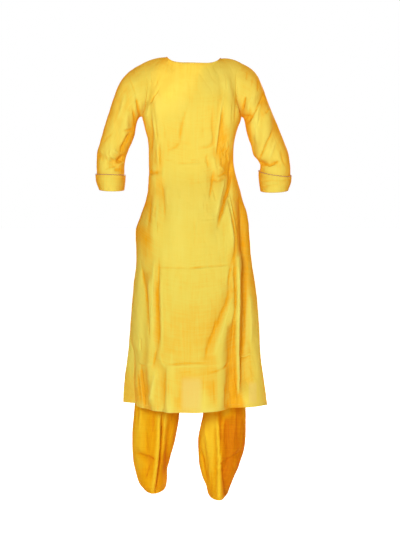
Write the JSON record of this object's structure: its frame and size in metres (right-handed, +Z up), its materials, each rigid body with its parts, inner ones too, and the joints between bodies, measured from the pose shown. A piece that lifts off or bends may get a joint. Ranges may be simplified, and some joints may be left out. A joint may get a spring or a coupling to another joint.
{
  "type": "salwar kameez suit",
  "caption": "A knee-length yellow kameez with three-quarter sleeves and turned-up piped cuffs, worn over a deeper yellow salwar, as on a general figure",
  "frame": {"origin": "midway between the wearer's shoulders, at the height of the shoulder seams by the neck", "axes": "+Z up, -Y the way the suit faces, +X the wearer's left"},
  "size_m": [0.63, 0.359, 1.389],
  "materials": {
    "kameez_back": "soft",
    "kameez_front": "soft",
    "sleeve_left": "soft",
    "sleeve_right": "soft",
    "cuff_left": "soft",
    "cuff_right": "soft",
    "piping_left": "soft",
    "piping_right": "soft",
    "salwar_leg_left": "soft",
    "salwar_leg_right": "soft",
    "salwar_belt": "soft"
  },
  "bodies": {
    "root": {"kameez_back": "kameez_back", "kameez_front": "kameez_front", "sleeve_left": "sleeve_left", "sleeve_right": "sleeve_right", "cuff_left": "cuff_left", "cuff_right": "cuff_right", "piping_left": "piping_left", "piping_right": "piping_right", "salwar_leg_left": "salwar_leg_left", "salwar_leg_right": "salwar_leg_right", "salwar_belt": "salwar_belt"}
  },
  "joints": []
}
